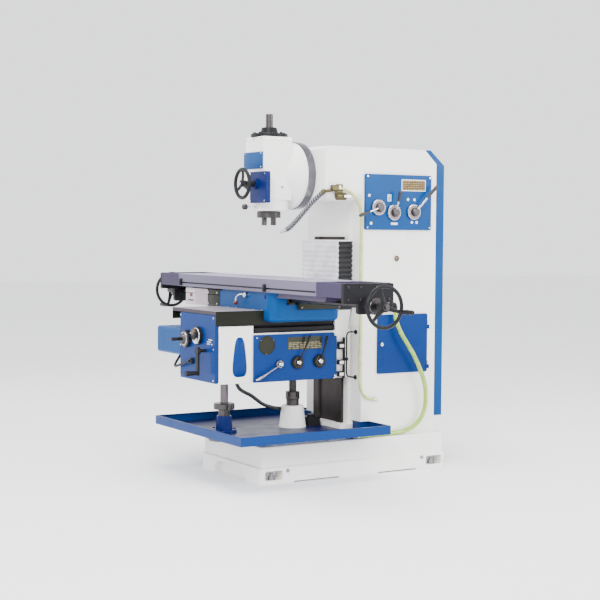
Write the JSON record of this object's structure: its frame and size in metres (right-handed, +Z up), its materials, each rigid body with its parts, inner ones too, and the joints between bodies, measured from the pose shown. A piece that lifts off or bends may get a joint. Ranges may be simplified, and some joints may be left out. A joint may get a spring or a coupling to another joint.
{
  "type": "vertical milling machine",
  "caption": "Knee-type vertical milling machine: box column with overarm and swivel head, knee, saddle, long T-slot table with handwheels, drip tray and base.",
  "frame": {"origin": "on the floor, at the centre of the four anchor-bolt holes in the base", "axes": "+Z up; +X along the table, to the operator's right; +Y from the operator towards the column's rear"},
  "size_m": [2.654, 1.6423, 2.1],
  "materials": {
    "cream_paint": "semi-gloss",
    "blue_paint": "semi-gloss",
    "black_paint": "satin",
    "ground_steel": "ground",
    "table_iron": "ground",
    "chrome": "polished",
    "black_iron": "satin",
    "black_plastic": "matte",
    "rubber_black": "matte",
    "bronze": "machined",
    "hose_green": "gloss",
    "pleat_cloth": "matte",
    "cover_sheet": "satin"
  },
  "bodies": {
    "frame": {"base_casting": "cream_paint", "drip_tray": "blue_paint", "screw_pedestal": "cream_paint", "elevating_nut": "ground_steel", "support_post": "ground_steel", "post_clamp": "black_iron", "post_boss": "blue_paint", "column_casting": "cream_paint", "column_ways": "table_iron", "rear_cover": "blue_paint", "gear_panel": "blue_paint", "way_bellows": "pleat_cloth", "swivel_ring": "chrome", "main_motor": "black_paint", "drive_belt": "rubber_black", "coolant_pump": "black_paint", "coolant_valve": "bronze", "coolant_gooseneck": "chrome", "supply_hose": "hose_green", "return_hose": "hose_green", "hose_fittings": "bronze", "cable_conduit": "black_plastic"},
    "gear_lever_left": {"gear_lever_left": "chrome"},
    "gear_lever_middle": {"gear_lever_middle": "chrome"},
    "gear_lever_right": {"gear_lever_right": "chrome"},
    "side_door": {"side_door": "blue_paint"},
    "coolant_tap": {"coolant_tap": "chrome"},
    "motor_pulley": {"motor_pulley": "black_iron"},
    "overarm_shaft": {"overarm_shaft": "ground_steel"},
    "head": {"head_casting": "cream_paint", "feed_box": "blue_paint", "bearing_flange": "black_iron"},
    "quill_handwheel": {"quill_handwheel": "black_iron"},
    "quill_clamp_knob": {"quill_clamp_knob": "black_plastic"},
    "quill": {"quill": "ground_steel", "spindle_bearings": "ground_steel"},
    "spindle": {"spindle": "ground_steel"},
    "spindle_gear": {"spindle_gear": "ground_steel"},
    "knee": {"knee_casting": "cream_paint", "knee_ways": "black_iron", "gearbox_cover": "blue_paint", "knee_side_panel": "blue_paint", "side_pod": "blue_paint", "feed_motor": "blue_paint", "limit_switches": "black_paint"},
    "knee_lever_left": {"knee_lever_left": "chrome"},
    "knee_lever_middle": {"knee_lever_middle": "black_iron"},
    "knee_lever_right": {"knee_lever_right": "black_iron"},
    "cross_screw": {"cross_screw": "ground_steel"},
    "feed_selector": {"feed_selector": "black_iron"},
    "elevating_crank": {"elevating_crank": "chrome"},
    "elevating_screw": {"elevating_screw": "ground_steel"},
    "saddle": {"saddle_casting": "blue_paint", "knee_apron": "cover_sheet", "feed_nuts": "bronze"},
    "saddle_lock_lever": {"saddle_lock_lever": "black_iron"},
    "table": {"table": "table_iron", "table_end_brackets": "black_iron"},
    "table_screw": {"table_screw": "ground_steel", "table_handwheels": "black_iron"}
  },
  "joints": [
    {"name": "knee_slide", "type": "slide", "parent": "frame", "child": "knee", "axis": [0, 0, 1], "range_m": [-0.06, 0.235], "deforming": ["way_bellows", "cable_conduit"]},
    {"name": "elevating_crank_turn", "type": "hinge", "parent": "knee", "child": "elevating_crank", "pos_m": [0.1, -0.96, 0.745], "axis": [0, 1, 0], "range_deg": [-10800, 42300]},
    {"name": "elevating_screw_turn", "type": "hinge", "parent": "knee", "child": "elevating_screw", "pos_m": [0, -0.225, 0.5], "axis": [0, 0, 1], "range_deg": [-2700, 10575]},
    {"name": "saddle_slide", "type": "slide", "parent": "knee", "child": "saddle", "axis": [0, 1, 0], "range_m": [-0.2, 0.015]},
    {"name": "cross_screw_turn", "type": "hinge", "parent": "knee", "child": "cross_screw", "pos_m": [-0.12, -0.88, 0.798], "axis": [0, 1, 0], "range_deg": [-14400, 1080]},
    {"name": "saddle_lock_turn", "type": "hinge", "parent": "saddle", "child": "saddle_lock_lever", "pos_m": [0.025, -0.565, 1.05], "axis": [0, 1, 0], "range_deg": [-12, 12]},
    {"name": "table_slide", "type": "slide", "parent": "saddle", "child": "table", "axis": [1, 0, 0], "range_m": [-0.25, 0.25]},
    {"name": "table_screw_turn", "type": "hinge", "parent": "table", "child": "table_screw", "pos_m": [0, -0.424, 1.034], "axis": [1, 0, 0], "range_deg": [-15000, 15000]},
    {"name": "head_swivel", "type": "hinge", "parent": "frame", "child": "head", "pos_m": [0, -0.245, 1.745], "axis": [0, 1, 0], "range_deg": [-45, 45]},
    {"name": "quill_wheel_turn", "type": "hinge", "parent": "head", "child": "quill_handwheel", "pos_m": [0.075, -0.616, 1.689], "axis": [0, 1, 0], "range_deg": [-2520, 0]},
    {"name": "quill_slide", "type": "slide", "parent": "head", "child": "quill", "axis": [0, 0, 1], "range_m": [-0.07, 0]},
    {"name": "quill_clamp_turn", "type": "hinge", "parent": "head", "child": "quill_clamp_knob", "pos_m": [0.02, -0.57, 1.558], "axis": [0, 1, 0], "range_deg": [0, 90]},
    {"name": "spindle_spin", "type": "hinge", "parent": "quill", "child": "spindle", "pos_m": [0, -0.396, 1.6], "axis": [0, 0, 1], "continuous": true},
    {"name": "spindle_gear_spin", "type": "hinge", "parent": "head", "child": "spindle_gear", "pos_m": [0, -0.396, 1.7], "axis": [0, 0, 1], "continuous": true},
    {"name": "overarm_shaft_spin", "type": "hinge", "parent": "frame", "child": "overarm_shaft", "pos_m": [0, 0, 1.745], "axis": [0, 1, 0], "continuous": true},
    {"name": "motor_spin", "type": "hinge", "parent": "frame", "child": "motor_pulley", "pos_m": [0, 0.45, 0.7], "axis": [0, 1, 0], "continuous": true},
    {"name": "gear_lever_left_turn", "type": "hinge", "parent": "frame", "child": "gear_lever_left", "pos_m": [0.34, 0.158, 1.562], "axis": [1, 0, 0], "range_deg": [-25, 25]},
    {"name": "gear_lever_middle_turn", "type": "hinge", "parent": "frame", "child": "gear_lever_middle", "pos_m": [0.34, 0.269, 1.534], "axis": [1, 0, 0], "range_deg": [-20, 20]},
    {"name": "gear_lever_right_turn", "type": "hinge", "parent": "frame", "child": "gear_lever_right", "pos_m": [0.34, 0.414, 1.539], "axis": [1, 0, 0], "range_deg": [-25, 25]},
    {"name": "side_door_swing", "type": "hinge", "parent": "frame", "child": "side_door", "pos_m": [0.318, 0.538, 0.757], "axis": [0, 0, 1], "range_deg": [0, 2.5]},
    {"name": "coolant_tap_turn", "type": "hinge", "parent": "frame", "child": "coolant_tap", "pos_m": [0.35, -0.097, 1.622], "axis": [1, 0, 0], "range_deg": [0, 90]},
    {"name": "knee_lever_left_turn", "type": "hinge", "parent": "knee", "child": "knee_lever_left", "pos_m": [0.24, -0.456, 0.662], "axis": [1, 0, 0], "range_deg": [-20, 20]},
    {"name": "knee_lever_middle_turn", "type": "hinge", "parent": "knee", "child": "knee_lever_middle", "pos_m": [0.24, -0.336, 0.667], "axis": [1, 0, 0], "range_deg": [-18, 18]},
    {"name": "knee_lever_right_turn", "type": "hinge", "parent": "knee", "child": "knee_lever_right", "pos_m": [0.24, -0.188, 0.668], "axis": [1, 0, 0], "range_deg": [-18, 18]},
    {"name": "feed_selector_turn", "type": "hinge", "parent": "knee", "child": "feed_selector", "pos_m": [0.019, -0.88, 0.824], "axis": [0, 1, 0], "range_deg": [-120, 120]}
  ],
  "couplings": [
    {"joint": "elevating_crank_turn", "follows": "knee_slide", "rad_per_m": 3141.6},
    {"joint": "elevating_screw_turn", "follows": "knee_slide", "rad_per_m": 785.4},
    {"joint": "cross_screw_turn", "follows": "saddle_slide", "rad_per_m": 1256.6},
    {"joint": "table_screw_turn", "follows": "table_slide", "rad_per_m": 1047.2},
    {"joint": "quill_wheel_turn", "follows": "quill_slide", "rad_per_m": 628.32},
    {"joint": "spindle_spin", "follows": "overarm_shaft_spin", "ratio": 0.66667},
    {"joint": "spindle_gear_spin", "follows": "overarm_shaft_spin", "ratio": 0.66667},
    {"joint": "motor_spin", "follows": "overarm_shaft_spin", "ratio": 1.6}
  ]
}
